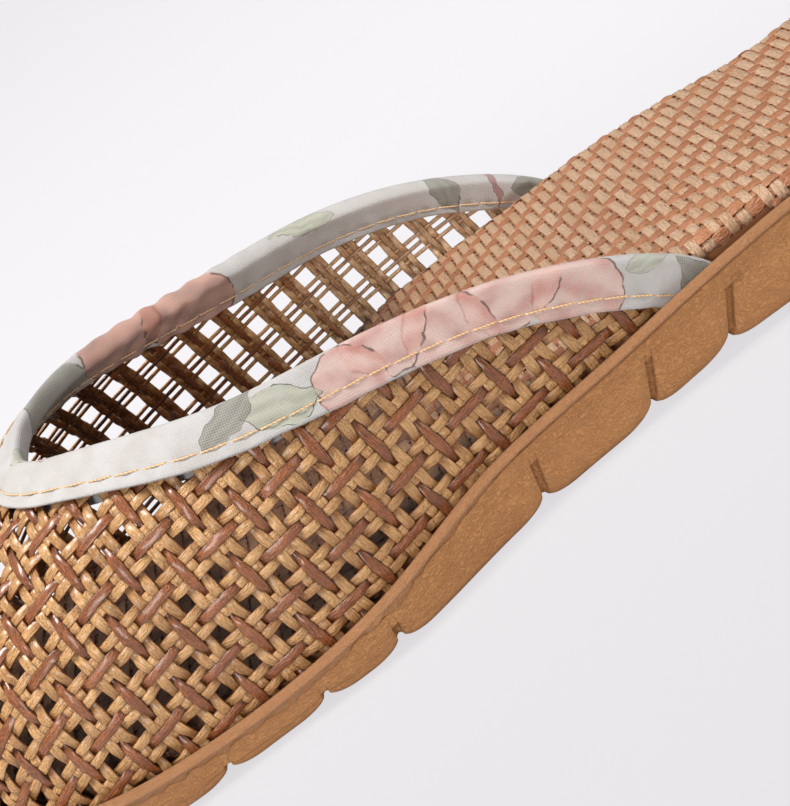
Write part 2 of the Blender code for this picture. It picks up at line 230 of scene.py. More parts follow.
def on_outline(side, station, inset):
    """Points x, y of one side of the outline, moved inwards by inset."""
    angle = np.arccos(np.clip(1 - 2 * station / LENGTH, -1, 1))
    points, inwards = PLAN[side]
    return tuple(
        np.interp(angle, ANGLES, points[:, k]) + inset * np.interp(angle, ANGLES, inwards[:, k])
        for k in (0, 1)
    )


def tread(station):
    """Height of the sole's bottom: level, but for the waist, the toe spring and the back of the heel."""
    arch = np.clip((station - ARCH_START) / (ARCH_END - ARCH_START), 0, 1)
    toe = np.clip((station - TOE_SPRING_START) / (LENGTH - TOE_SPRING_START), 0, 1)
    heel = np.clip(1 - station / HEEL_LIFT_END, 0, 1)
    return ARCH_LIFT * np.sin(math.pi * arch) ** 2 + TOE_SPRING * toe**2 + HEEL_LIFT * heel**2


def rim(station):
    """Height of the rim's top."""
    return smooth("rim", station)


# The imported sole's box says where the shoe's own origin lies.
sole_low, sole_high = (np.array(corner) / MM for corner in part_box("outsole"))
LIP_REACH = 0.3
ORIGIN = np.array(
    [
        -(half_width("inner", np.linspace(0, LENGTH, 2001)).max() + LIP_REACH) - sole_low[0],
        LENGTH / 2 - (sole_low[1] + sole_high[1]) / 2,
        -sole_low[2],
    ]
)


def add_mesh(name, points, faces, uv=None, tone=None):
    """An object from points in millimetres on the shoe's own origin. Vertex rows uv and tone become a UV
    map and an attribute of the same names."""
    mesh = bpy.data.meshes.new(name)
    mesh.from_pydata(((np.asarray(points) - ORIGIN) * MM).tolist(), [], [list(f) for f in faces])
    if uv is not None:
        corner = np.empty(len(mesh.loops), dtype=np.int32)
        mesh.loops.foreach_get("vertex_index", corner)
        layer = mesh.uv_layers.new(name="uv")
        layer.data.foreach_set("uv", np.asarray(uv, dtype=np.float32)[corner].ravel())
    if tone is not None:
        layer = mesh.attributes.new("tone", "FLOAT", "POINT")
        layer.data.foreach_set("value", np.asarray(tone, dtype=np.float32).ravel())
    mesh.shade_smooth()
    obj = bpy.data.objects.new(name, mesh)
    bpy.context.scene.collection.objects.link(obj)
    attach(obj, "root")
    return obj


class Field:
    """A value or colour that changes over a surface: a node's output. Sums and products of it with
    numbers and other fields are Math nodes."""

    def __init__(self, output):
        self.output = output

    def __add__(self, other):
        return combine("ADD", self, other)

    def __sub__(self, other):
        return combine("SUBTRACT", self, other)

    def __rsub__(self, other):
        return combine("SUBTRACT", other, self)

    def __mul__(self, other):
        return combine("MULTIPLY", self, other)

    def __truediv__(self, other):
        return combine("DIVIDE", self, other)

    def __abs__(self):
        return combine("ABSOLUTE", self)

    def clamped(self):
        """The same, with its own Math node held between 0 and 1."""
        self.output.node.use_clamp = True
        return self


def add_node(tree, kind, inputs=None, **settings):
    """A shader node with its settings, and its inputs given as values or as fields."""
    made = tree.nodes.new(kind)
    for key, value in settings.items():
        setattr(made, key, value)
    for key, value in (inputs or {}).items():
        if isinstance(value, Field):
            tree.links.new(value.output, made.inputs[key])
        else:
            made.inputs[key].default_value = value
    return made


def field(tree, kind, output, inputs=None, **settings):
    """The named output of a new node."""
    return Field(add_node(tree, kind, inputs, **settings).outputs[output])


def tree_of(*values):
    """The node tree of the first field among the values."""
    return next(v for v in values if isinstance(v, Field)).output.id_data


def combine(operation, *values):
    """A Math node's result for numbers and fields."""
    return field(tree_of(*values), "ShaderNodeMath", 0, dict(enumerate(values)), operation=operation)


def combine_vectors(operation, *values, output=0):
    """A Vector Math node's result for vectors and fields."""
    inputs = dict(enumerate(values))
    return field(tree_of(*values), "ShaderNodeVectorMath", output, inputs, operation=operation)


def blend(factor, first, second):
    """From the first colour at a factor of 0 to the second at 1."""
    inputs = {0: factor, 6: first, 7: second}
    return field(tree_of(factor, first, second), "ShaderNodeMix", 2, inputs, data_type="RGBA")


def ramp(value, low, high):
    """0 to 1 as the value goes from low to high, eased at both ends."""
    inputs = {"Value": value, "From Min": low, "From Max": high}
    return field(tree_of(value), "ShaderNodeMapRange", "Result", inputs, interpolation_type="SMOOTHSTEP")


def noise(place, scale, detail=2.0, roughness=0.5, distortion=0.0, output="Fac"):
    """Smooth noise, mostly from 0.3 to 0.7, with so many grains to a unit of place."""
    inputs = {"Vector": place, "Scale": scale, "Detail": detail, "Roughness": roughness}
    return field(tree_of(place), "ShaderNodeTexNoise", output, {**inputs, "Distortion": distortion})


def stretched(place, scale):
    """A map with its two ways scaled apart."""
    return field(tree_of(place), "ShaderNodeMapping", 0, {"Vector": place, "Scale": (*scale, 1.0)})


def display(red, green, blue):
    """Linear colour from display values of 0 to 255."""
    c = np.array([red, green, blue]) / 255
    linear = np.where(c <= 0.04045, c / 12.92, ((c + 0.055) / 1.055) ** 2.4)
    return (*(float(v) for v in linear), 1.0)


def add_material(name, obj, constants):
    """The Principled shader of a new material on the piece, with the given constants."""
    made = bpy.data.materials.new(name)
    made.use_nodes = True
    obj.data.materials.clear()
    obj.data.materials.append(made)
    shader = made.node_tree.nodes["Principled BSDF"]
    for key, value in constants.items():
        shader.inputs[key].default_value = value
    return shader


def mesh_uv(shader):
    """The piece's own map, for its shader."""
    return field(shader.id_data, "ShaderNodeUVMap", 0, uv_map="uv")


def mesh_tone(shader):
    """The piece's own tone, for its shader."""
    return field(shader.id_data, "ShaderNodeAttribute", "Fac", attribute_name="tone")


def object_place(shader):
    """Metres from the piece's origin, for its shader."""
    return field(shader.id_data, "ShaderNodeTexCoord", "Object")


def drive(shader, **fields):
    """Links fields to the shader's sockets, which are named with _ for a space."""
    for key, value in fields.items():
        shader.id_data.links.new(value.output, shader.inputs[key.replace("_", " ")])


def bumped(height, strength, distance, **under):
    """Normals bumped by a height, over those of Normal if that is given."""
    inputs = {"Height": height, "Strength": strength, "Distance": distance, **under}
    return field(tree_of(height), "ShaderNodeBump", 0, inputs)


def lofted(rows):
    """Closed solid from plan rows stacked along its profile. A row is (inner side, outer side), each as
    x, y, z points from heel to toe that share both ends. Strips across the shoe close both ends."""
    sides = len(rows[0][0])
    size = 2 * sides - 2
    points = np.concatenate([np.concatenate([a, b[-2:0:-1]]) for a, b in rows])
    i = np.arange(size)
    j = (i + 1) % size
    base = (np.arange(len(rows) - 1) * size)[:, None]
    walls = np.stack([base + i, base + size + i, base + size + j, base + j], axis=-1).reshape(-1, 4)
    faces = walls.tolist()
    for start, upwards in ((0, False), ((len(rows) - 1) * size, True)):
        for k in range(sides - 1):
            strip = [start + k, start + k + 1]
            strip += [start + (size - k - 1) % size, start + (size - k) % size]
            strip = list(dict.fromkeys(strip))
            faces.append(strip[::-1] if upwards else strip)
    return points, faces


def outsole_rows():
    """The wall's profile carried round the outline. Columns lean with the slots, so that each slot runs
    along its own columns. A slot is a groove in the wall; a valley lifts the bottom's edge at its foot."""
    notch, slant = np.array(NOTCHES).T
    even = stations(EVEN_COLUMNS)
    clear = np.abs(even[:, None] - notch).min(axis=1) > SLOT_CLEAR
    station = np.sort(np.concatenate([even[clear], (notch[:, None] + np.array(SLOT_COLUMNS)).ravel()]))
    away = np.abs(station[:, None] - notch).min(axis=1)
    reach = np.clip((away - VALLEY_FLOOR / 2) / VALLEY_REACH, 0, 1)
    valley = VALLEY_DEPTH * (1 - np.sqrt(1 - (1 - reach) ** 2))
    lean = np.tan(np.radians(np.interp(station, [0, *notch, LENGTH], [0, *slant, 0])))
    groove = SLOT_DEPTH * np.clip((SLOT_OUTSIDE - away) / (SLOT_OUTSIDE - SLOT_EDGE), 0, 1)
    groove += SLOT_SWELL * bell(away - SLOT_OUTSIDE, 0.5) * (away >= SLOT_OUTSIDE)

    lip_foot = -LIP_ROWS[0][1]
    wall = rim(station) - lip_foot - tread(station) - valley
    short = np.clip((wall - SLOT_ROWS[0]) / 2.4, 0, 1)
    heights = [height * short for _, height in FOOT_ROWS]
    insets = [inset + groove * np.clip((FOOT_ROWS[0][0] - inset) / 2, 0, 1) for inset, _ in FOOT_ROWS]
    low, high = heights[-1], wall - SLOT_ROWS[0]
    for part in np.linspace(0, 1, WALL_ROWS + 1)[1:-1]:
        heights.append(low + (high - low) * part)
        insets.append(WALL_INSET + WALL_DRAFT * (1 - part) ** 3 + groove)
    for below in SLOT_ROWS:
        heights.append(wall - below)
        insets.append(WALL_INSET + groove * np.clip((below - SLOT_TOP + lip_foot) / 0.1, 0, 1))
    heights, insets = np.array(heights), np.array(insets)
    # Painted shade: darker on the slots' floors, where the wall is cut deep, and in a thin line along each
    # edge of a slot's floor.
    painted_shade_and_bead = 0.15 * np.clip((insets - WALL_INSET - 0.35) / 0.5, 0, 1) + 0.7 * bell(away - SLOT_EDGE, 0.1)
    painted_shade_and_bead = np.concatenate([painted_shade_and_bead * (heights > 1.8), np.array(LIP_ROWS)[:, 4:] + 0 * station])

    # Heights keep their share of the wall as the lean takes a column to another station.
    rows = []
    for rise, inset in zip(heights, insets):
        y = np.clip(station - lean * (rise + valley), 0, LENGTH)
        floor = tread(y) + valley
        share = np.clip(rise / np.maximum(wall, 0.01), 0, 1)
        rows.append((y, inset, floor + share * (rim(y) - lip_foot - floor)))
    coarse, hangs = (eased((station - start) / over) for start, over in (FLASH_COARSE, FLASH_HANGS))
    ragged = (uneven(station, 1.9, 5) + 0.7 * uneven(station, 0.8, 6)) * (0.7 + 0.8 * coarse)
    ragged = ragged * np.clip(uneven(station, 9.0, 7) + 0.35, 0.25, 1)
    hanging = FLASH_HANG * hangs * np.clip(0.55 + 0.6 * uneven(station, 1.3, 8), 0, 1)
    y = np.clip(station - lean * (wall + valley), 0, LENGTH)
    for inset, drop, hang, torn, _ in LIP_ROWS:
        z = rim(y) + drop + FLASH_RISE * torn * ragged - hang * hanging
        rows.append((y, inset - FLASH_REACH * torn * ragged, z))
    sides = [
        tuple(np.stack([*on_outline(side, y, inset), z], axis=1) for side in ("inner", "outer"))
        for y, inset, z in rows
    ]
    return sides, np.concatenate([painted_shade_and_bead, painted_shade_and_bead[:, -2:0:-1]], axis=1).ravel()


def wall_map(rows):
    """UV in centimetres: round the outline from the heel's back on each side, and up the profile."""
    uv = []
    climbed = 0.0
    for k, (inner, outer) in enumerate(rows):
        if k:
            climbed = climbed + np.linalg.norm(inner - rows[k - 1][0], axis=1).mean()
        run = np.concatenate([run_of(inner), run_of(outer)[-2:0:-1] + 3.0])
        uv.append(np.stack([run, np.full(len(run), climbed)], axis=1))
    return np.concatenate(uv) / 10


sole_rows, sole_painted_shade_and_bead = outsole_rows()
outsole = add_mesh("rubber_outsole", *lofted(sole_rows), uv=wall_map(sole_rows), tone=sole_painted_shade_and_bead)
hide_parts("outsole")

shader = add_material("tan_foam_rubber", outsole, {"Roughness": 0.5, "Specular IOR Level": 0.4})
position, painted_shade_and_bead = object_place(shader), mesh_tone(shader)
grain = stretched(mesh_uv(shader), (10.0, 21.0))
creases = ramp(abs(noise(grain, 1.0, distortion=1.6) - 0.5), 0.0, 0.075)
pebbles = noise(position, 2100.0, detail=3.0, roughness=0.6)
patches = noise(position, 90.0, detail=3.0)
crumbs = noise(grain, 2.2, detail=4.0, roughness=0.7)  # wear on the bead
# Tones below 0 mark the bead; tones above 0 are painted shade.
bead = (painted_shade_and_bead * -1.0).clamped()
tint = blend(ramp(patches, 0.3, 0.7), display(180, 124, 74), display(187, 131, 80))
# Painted shade: a little darker along the grain's creases, where the bump sinks.
tint = blend(creases * -0.07 + 0.07, tint, display(146, 97, 58))
tint = blend(bead * 0.7, tint, display(172, 123, 86))
tint = blend(ramp(crumbs, 0.5, 0.64) * bead * 0.4, tint, display(118, 74, 44))
# Painted shade in the slots and in the crevice under the flash.
tint = blend((painted_shade_and_bead * 0.6).clamped(), tint, display(92, 50, 24))
surface = bumped(creases * 0.8 + pebbles * 0.8 + crumbs * bead * 2.6, 0.72, 0.00026)
mark = [float(v) for v in on_outline("inner", BUMP_STATION, WALL_INSET)]
mark = (np.array([*mark, float(tread(BUMP_STATION)) + BUMP_HEIGHT]) - ORIGIN) * MM
away = combine_vectors("DISTANCE", position, tuple(mark), output="Value")
surface = bumped(ramp(away, BUMP_RADIUS * MM, 0.0), 1.0, 0.0005, Normal=surface)
drive(shader, Base_Color=tint, Normal=surface)

# ---- Footbed ----------------------------------------------------------------------------------------
# The real piece is a foam pad covered with matting woven from dried straw: light crosswise strips over
# brown lengthwise ones, in a pointed twill. The matting is wrapped over the pad's edge, and the pad is
# glued into the sole's tray.

RISE = 2.7  # top of the matting above the rim
STRAW = 0.32  # thickness of a strip of the matting
HEAVE = 0.14  # how far strips rise and sink as they cross
EDGE_ROUND, EDGE_DROP = 1.9, 1.3  # radius of the wrapped edge, and the straight length below it
FLAT_SECTION = ((1, -0.3), (0.8, 0.85), (-0.8, 0.85), (-1, -0.3), (-0.6, -1), (0.6, -1))
SHADE_START, SHADE_OVER, SHADE = 118.0, 44.0, 1.7  # station where the upper's shade begins, length, depth
SPINE = -4  # lengthwise strip at which the twill turns back
LONG_FLOATS = 5  # strips away from the spine on the outer side, past which the floats are longer

# Crosswise strips, then lengthwise: pitch, place of strip 0, first strip and the one past the last, the
# stretch that the set covers, width, shares of the width where a strip is under and where it is over.
MAT_COLUMNS = ("pitch", "start", "strips", "stretch", "width", "under", "over")
WEFT = dict(zip(MAT_COLUMNS, (2.15, 0.0, (0, 121), (-2.0, LENGTH + 2.0), 1.84, 0.86, 1.0)))
WARP = dict(zip(MAT_COLUMNS, (2.1, -0.5, (-22, 27), (-48.0, 56.0), 2.06, 0.84, 1.22)))

# Pad, a little inside the matting: inset from the seat line, and height from the rim's top.
PAD_ROWS = ((0.8, -3.9), (0.5, -3.2), (0.5, 0.0), (0.6, 0.7), (1.0, 1.4), (1.6, 1.8), (2.4, 1.95))


def seat(station):
    """How far the footbed's edge lies inside the sole's outline."""
    return smooth("seat", station)


def footbed_row(inset, height):
    """Outline of the footbed moved inwards from its seat line, at a height from the rim's top."""
    station = stations(90)
    row = []
    for side in ("inner", "outer"):
        x, y = on_outline(side, station, seat(station) + inset)
        row.append(np.stack([x, y, rim(y) + height], axis=1))
    row[0][[0, -1], 0] = row[1][[0, -1], 0] = 0.0
    return tuple(row)


def seat_loop():
    """Seat line all round as points, with the directions inwards."""
    inner, outer = (points + inwards * seat(points[:, 1])[:, None] for points, inwards in PLAN.values())
    loop = np.concatenate([inner, outer[-2:0:-1]])[::3]
    return loop, inwards_of(loop)


def wrapped(x, y):
    """Where points of flat matting lie once it is wrapped over the pad, the outward normals there, and
    whether the matting reaches so far. Depth is the distance inside the seat line. The matting is flat
    down to a depth of EDGE_ROUND, then an arc of that radius, and then runs straight down."""
    loop, inwards = seat_loop()
    flat = np.stack([x.ravel(), y.ravel()], axis=1)
    nearest = ((flat[:, None] - loop) ** 2).sum(axis=2).argmin(axis=1)
    away = inwards[nearest]
    depth = ((flat - loop[nearest]) * away).sum(axis=1)
    past = EDGE_ROUND - depth
    turn = np.clip(past / EDGE_ROUND, 0, math.pi / 2)
    down = np.clip(past - EDGE_ROUND * math.pi / 2, 0, None)
    into = np.where(past < 0, depth, EDGE_ROUND * (1 - np.sin(turn)))
    plan = flat + away * (into - depth)[:, None]
    height = RISE - STRAW / 2 - HEAVE - EDGE_ROUND * (1 - np.cos(turn)) - down
    points = np.column_stack([plan, rim(plan[:, 1]) + height])
    normals = np.column_stack([-away * np.sin(turn)[:, None], np.cos(turn)])
    return points.reshape(*x.shape, 3), normals.reshape(*x.shape, 3), (down < EDGE_DROP).reshape(x.shape)


def ribbons(centre, normal, half, thickness, keep, section, lean=0.0):
    """Flat strips. The closed section, of (across, up) points counter-clockwise as seen from ahead, is
    carried along each row of centres, with across square to the row and to its normals. Keep says which
    samples exist. Gives the points, faces, and for each vertex its row, sample and place across in mm."""
    ahead = unit(np.gradient(centre, axis=1))
    across = unit(np.cross(normal, ahead))
    up = np.cross(ahead, across)
    swing = np.broadcast_to(lean, half.shape)[..., None]
    across, up = across * np.cos(swing) + up * np.sin(swing), up * np.cos(swing) - across * np.sin(swing)
    shape = np.array(section, dtype=float)
    count = len(shape)
    wide = (half[..., None] * shape[:, 0])[..., None]
    high = (np.broadcast_to(thickness, half.shape)[..., None] / 2 * shape[:, 1])[..., None]
    points = centre[..., None, :] + across[..., None, :] * wide + up[..., None, :] * high
    number = np.full(keep.shape, -1)
    number[keep] = np.arange(keep.sum()) * count
    joined = keep[:, :-1] & keep[:, 1:]
    here, there = number[:, :-1][joined][:, None], number[:, 1:][joined][:, None]
    k = np.arange(count)
    after = (k + 1) % count
    walls = np.stack([here + k, here + after, there + after, there + k], axis=-1).reshape(-1, 4)
    padded = np.pad(keep, ((0, 0), (1, 1)))
    first = number[keep & ~padded[:, :-2]][:, None] + k[::-1]
    last = number[keep & ~padded[:, 2:]][:, None] + k
    faces = walls.tolist() + first.tolist() + last.tolist()
    row, sample = (np.repeat(v, count) for v in np.nonzero(keep))
    return points[keep].reshape(-1, 3), faces, row, sample, wide[keep][..., 0].ravel()


def without_stubs(keep, least=3):
    """Keep, less the runs of fewer samples than least along a row."""
    kept = keep.copy()
    for row in kept:
        edges = np.flatnonzero(np.diff(np.concatenate([[0], row.astype(int), [0]])))
        for start, stop in edges.reshape(-1, 2):
            if stop - start < least:
                row[start:stop] = False
    return kept


def waves(shape, length, seed):
    """Smooth noise from about -1 to 1 along each row: three sines of random phase and length."""
    rng = np.random.default_rng(seed)
    at = np.arange(shape[1])
    total = np.zeros(shape)
    for share in (0.5, 0.3, 0.2):
        phase = rng.uniform(0, 2 * math.pi, (shape[0], 1))
        stretch = length * share * 2 * rng.uniform(0.8, 1.25, (shape[0], 1))
        total += share * np.sin(at / stretch * 2 * math.pi + phase)
    return total


def between(t, level):
    """Goes from 0 to 1 as t does, but stays level for a share of the way at either end."""
    return eased((t - level) / (1 - 2 * level))


def weft_over(warp, weft):
    """Pointed twill: a crosswise strip passes over lengthwise ones, but goes under where the distance
    from the spine and the strip's own number add up to a multiple of the repeat."""
    away = np.abs(warp - SPINE)
    repeat = np.where(warp - SPINE > LONG_FLOATS, 4, 3)
    return (away + weft) % repeat != 0


def matting(name, own, other, seed):
    """One set of the matting's strips: rows across the shoe, or along it, heaved up where they pass over
    and down where they pass under, eased from one crossing to the next."""
    crosswise = own is WEFT
    number = np.arange(*own["strips"])[:, None]
    step = other["pitch"] / 3
    run = np.arange(*other["stretch"], step)[None]
    place, run = np.broadcast_arrays(number * own["pitch"] + own["start"], run)
    crossing = (run - other["start"]) / other["pitch"]
    before = np.floor(crossing).astype(int)
    low, high = (
        weft_over(strip, number) if crosswise else ~weft_over(number, strip)
        for strip in (before, before + 1)
    )
    over = low + (high.astype(float) - low) * between(crossing - before, 0.18)
    rng = np.random.default_rng(seed)
    sway = 0.09 * waves(run.shape, 40, seed)
    x, y = (run, place + sway) if crosswise else (place + sway, run)
    points, normals, inside = wrapped(x, y)
    points = points + normals * (HEAVE * (2 * over - 1))[..., None]
    broad = own["under"] + (own["over"] - own["under"]) * over
    half = own["width"] / 2 * (1 + 0.08 * waves(run.shape, 25, seed + 20)) * broad
    lean = 0.07 * waves(run.shape, 12, seed + 40)
    keep = without_stubs(inside)
    made, faces, row, sample, across = ribbons(points, normals, half, STRAW, keep, FLAT_SECTION, lean)
    shade = rng.uniform(0, 1, (len(run), 1)) * 0.6 + 0.4 * (0.5 + 0.5 * waves(run.shape, 30, seed + 60))
    uv = np.stack([sample * step + row * 51.7, across + row * 3.3], axis=1)
    under_upper = SHADE * eased((made[:, 1] - SHADE_START) / SHADE_OVER)
    obj = add_mesh(name, made, faces, uv=uv, tone=shade[row, sample] + under_upper)
    return obj


def shader_group(name, takes, gives, formula):
    """A shader group. Takes and gives are the kinds of its sockets by name. The formula makes the fields
    given out of those taken, both in order."""
    group = bpy.data.node_groups.new(name, "ShaderNodeTree")
    for way, sockets in (("INPUT", takes), ("OUTPUT", gives)):
        for label, kind in sockets.items():
            group.interface.new_socket(label, in_out=way, socket_type="NodeSocket" + kind)
    taken = group.nodes.new("NodeGroupInput").outputs
    given = formula(*(Field(taken[label]) for label in takes))
    out = group.nodes.new("NodeGroupOutput")
    for label, made in zip(gives, given):
        group.links.new(made.output, out.inputs[label])
    return group


def use_group(shader, group, inputs):
    """Outputs of a group in the shader's tree, by name."""
    made = add_node(shader.id_data, "ShaderNodeGroup", inputs, node_tree=group)
    return {output.name: Field(output) for output in made.outputs}


def dried_straw(place, tone, light, dark, freckle):
    """Long fibres, fine creases and freckles along a strip's own map. Tone 0 is the light colour and 1
    the dark. Above 1 it is darkened with painted shadow, and below 0 it is lightened with painted light."""
    fibres = noise(stretched(place, (0.4, 4.5)), 1.0, detail=3.0)
    folds = noise(stretched(place, (0.8, 2.2)), 1.0, distortion=1.2)
    creases = ramp(abs(folds - 0.5), 0.0, 0.05)
    speckled = ramp(noise(place, 2.6), 0.58, 0.7)
    colour = blend((tone + (ramp(fibres, 0.3, 0.7) * 0.24 - 0.12)).clamped(), light, dark)
    # Painted shadow: tones above 1 darken towards near black.
    deep = blend(0.72, freckle, (0.024, 0.009, 0.003, 1.0))
    colour = blend(((tone - 1.0) * 0.85).clamped(), colour, deep)
    # Painted light: tones below 0 lighten towards a pale warm colour.
    colour = blend((tone * -0.6).clamped(), colour, display(250, 210, 168))
    colour = blend(speckled * 0.35, colour, freckle)
    colour = blend(creases * -0.2 + 0.2, colour, freckle)
    return colour, fibres * 0.4 + folds * 1.2


STRAW_GROUP = shader_group(
    "Dried straw",
    {"Map": "Vector", "Tone": "Float", "Light": "Color", "Dark": "Color", "Freckle": "Color"},
    {"Color": "Color", "Height": "Float"},
    dried_straw,
)


def finish_in_straw(name, obj, light, dark, freckle, relief, constants):
    """Straw's material on a set of strips, from its light and dark colours and its freckles' colour."""
    shader = add_material(name, obj, constants)
    inputs = {"Map": mesh_uv(shader), "Tone": mesh_tone(shader)}
    straw = use_group(shader, STRAW_GROUP, {**inputs, "Light": light, "Dark": dark, "Freckle": freckle})
    drive(shader, Base_Color=straw["Color"], Normal=bumped(straw["Height"], 1.0, relief))


pad = add_mesh("footbed_pad", *lofted([footbed_row(inset, height) for inset, height in PAD_ROWS]))
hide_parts("insole")
add_material("brown_backing_cloth", pad, {"Base Color": display(158, 104, 66), "Roughness": 0.8})

PALE_STRAW = display(200, 167, 138), display(184, 146, 114), display(164, 116, 82)
BROWN_STRAW = display(182, 124, 86), display(158, 100, 66), display(128, 76, 46)
STRAW_GLOSS = {"Roughness": 0.42, "Specular IOR Level": 0.5}
footbed_weft = matting("footbed_crosswise_straw", WEFT, WARP, 11)
footbed_warp = matting("footbed_lengthwise_straw", WARP, WEFT, 12)
finish_in_straw("footbed_pale_straw", footbed_weft, *PALE_STRAW, 0.0005, STRAW_GLOSS)
finish_in_straw("footbed_brown_straw", footbed_warp, *BROWN_STRAW, 0.0005, STRAW_GLOSS)

# ---- Woven upper ------------------------------------------------------------------------------------
# The real piece is open rattan-style cane cloth, woven by hand in groups of three strips, pale, brown and
# pale, both ways. It is moulded over a last, and its lower edge is glued down behind the sole's rim.

UPPER_INSET = 2.6  # outer face of the upper's wall, inside the sole's outline
UPPER_WALL = 1.6
UPPER_TUCK = 3.4  # how far the lower edge goes down behind the rim
CROWN_ROUND = 40.0  # length of the upper's rounded front, seen from the side
THROAT_CENTRE, THROAT_INNER, THROAT_OUTER = 204.5, 100.5, 104.0
THROAT_INNER_POWER, THROAT_OUTER_POWER, THROAT_ROUND = 0.91, 0.88, 1.5
FAR_TURN, FAR_TURN_OVER = 1.75, 0.5  # turn at which the throat's little-toe side begins, and how soon

# The weave is a lattice with a hole at each whole number of both its coordinates. The first counts groups
# of lengthwise strips round the section, the second groups of crosswise strips along the crown.
LENGTHWISE_REPEAT, CROSSWISE_REPEAT = 6.92, 6.545  # mm of wall for one group and its gap
LENGTHWISE_START, CROSSWISE_START = 51.2, 35.2  # mm, from the crown and from the station of RUN_FROM
RUN_FROM = 160.0
LENGTHWISE_GROUPS, CROSSWISE_GROUPS = (-22, 6), (-19, 15)
LENGTHWISE_PITCH, CROSSWISE_PITCH = 0.219, 0.207  # of strips in a group, as a share of the repeat
FAR_LENGTHWISE_PITCH, FAR_CROSSWISE_PITCH = 0.228, 0.168  # the same on the little-toe side
BOW = 0.3545, 0.0714  # repeats that crosswise strips bow by, with the girth's square and with the girth
TWIST, TWIST_ALONG, TWIST_CROWN = -0.0127, 0.3855, -0.1562  # repeats that lengthwise strips turn by
FAR_START, FAR_OVER = 16.0, 34.0  # girth at which the strips start to narrow, and how far on they are full
CANE_EDGE = ((1, -0.2), (0.97, 0.6), (0.8, 1))
CANE_SECTION = (*CANE_EDGE, *((-x, y) for x, y in CANE_EDGE[::-1]), (-0.7, -1), (0.7, -1))
CANE = 0.4
CANE_HEAVE = 0.28
INNER_PAINTED_LIGHT, INNER_PAINTED_SHADE = -2.2, 0.7  # tones of the strips' inner faces: painted light towards the heel and painted shade towards the toe
INNER_START, INNER_OVER = 128.0, 72.0  # station where they begin to darken, and how far on they are dark
SAMPLES = 13  # along a strip, to a repeat


def width_at(side, station, inset):
    """Distance from the centreline, at a station, to a side of the outline moved inwards by inset."""
    points, inwards = PLAN[side]
    moved = points + inwards * inset
    return np.interp(station, moved[:, 1], np.abs(moved[:, 0]))


def unit_section(turn, power):
    """Point of the unit superellipse at a turn from 0, the inner foot, over the crown to pi."""
    across, up = np.cos(turn), np.sin(turn)
    size = (np.abs(across) ** power + np.abs(up) ** power) ** (1 / power)
    return across / size, up / size


def upper_surface(station, turn, proud):
    """The upper's outer face, moved out by proud: each section is half a superellipse between the two
    sides of the inset outline, as high as the crown, which rounds down to the sole at the toe."""
    left = width_at("inner", station, UPPER_INSET - proud)
    right = width_at("outer", station, UPPER_INSET - proud)
    end = LENGTH - UPPER_INSET + proud
    foot = rim(station) - UPPER_TUCK
    height = (smooth("crown", station) + UPPER_TUCK + proud) * rounding(end - station, CROWN_ROUND, 2.0)
    across, up = unit_section(turn, smooth("power", station))
    x = (right - left) / 2 - (right + left) / 2 * across
    return np.stack([x, station + 0 * turn, foot + height * up], axis=-1)


def far_throat(turn):
    """0 on the throat's big-toe side and over most of the crown, 1 on its little-toe side."""
    return eased((turn - FAR_TURN) / FAR_TURN_OVER)


def throat(turn):
    """Station of the throat's edge: back at the sole on either side, and forward at the crown."""
    rise = np.clip(unit_section(turn, 3.0)[1], 0, 1) ** THROAT_ROUND
    inner = turn < math.pi / 2
    back = np.where(inner, THROAT_INNER, THROAT_OUTER)
    power = np.where(inner, THROAT_INNER_POWER, THROAT_OUTER_POWER)
    return THROAT_CENTRE - (THROAT_CENTRE - back) * (1 - rise) ** power


MID_WALL = -UPPER_WALL / 2
WEAVE_BACK, WEAVE_FRONT = 70.0, LENGTH - UPPER_INSET + MID_WALL - 0.05


def run_along_crown():
    """Stations along the crown, and the length of surface run from the weave's start to each."""
    station = WEAVE_BACK + (WEAVE_FRONT - WEAVE_BACK) * np.sin(math.pi / 2 * np.linspace(0, 1, 3000))
    run = run_of(upper_surface(station, np.full(station.shape, math.pi / 2), MID_WALL))
    return station, run - np.interp(RUN_FROM, station, run)


CROWN_STATION, CROWN_RUN = run_along_crown()
GIRTH_STEP = 0.25
GIRTHS = np.arange(-96, 96, GIRTH_STEP)
RUNS = np.arange(CROWN_RUN[0], CROWN_RUN[-1], 0.8)


def turns_by_girth():
    """For each run along the crown, the turn that lies at each girth: the length of surface round the
    section from the crown, positive towards the inner side. Also the girth of the foot on each side."""
    turn = np.linspace(0, math.pi, 721)
    station = np.interp(RUNS, CROWN_RUN, CROWN_STATION)
    points = upper_surface(station[:, None], np.broadcast_to(turn, (len(RUNS), len(turn))), MID_WALL)
    steps = np.linalg.norm(np.diff(points, axis=1), axis=2)
    down = np.pad(np.cumsum(steps, axis=1), ((0, 0), (1, 0)))
    down -= down[:, len(turn) // 2][:, None]
    table = np.array([np.interp(-GIRTHS, row, turn) for row in down])
    return table, -down[:, 0], -down[:, -1]


TURN_TABLE, INNER_FOOT, OUTER_FOOT = turns_by_girth()


def turn_at(run, girth):
    """Turn at a run and girth, straight between the table's four neighbours."""
    r = np.clip(np.interp(run, RUNS, np.arange(len(RUNS))), 0, len(RUNS) - 1.001)
    c = np.clip((girth - GIRTHS[0]) / GIRTH_STEP, 0, len(GIRTHS) - 1.001)
    i, j = r.astype(int), c.astype(int)
    u, v = r - i, c - j
    near = TURN_TABLE[i, j] * (1 - v) + TURN_TABLE[i, j + 1] * v
    far = TURN_TABLE[i + 1, j] * (1 - v) + TURN_TABLE[i + 1, j + 1] * v
    return near * (1 - u) + far * u


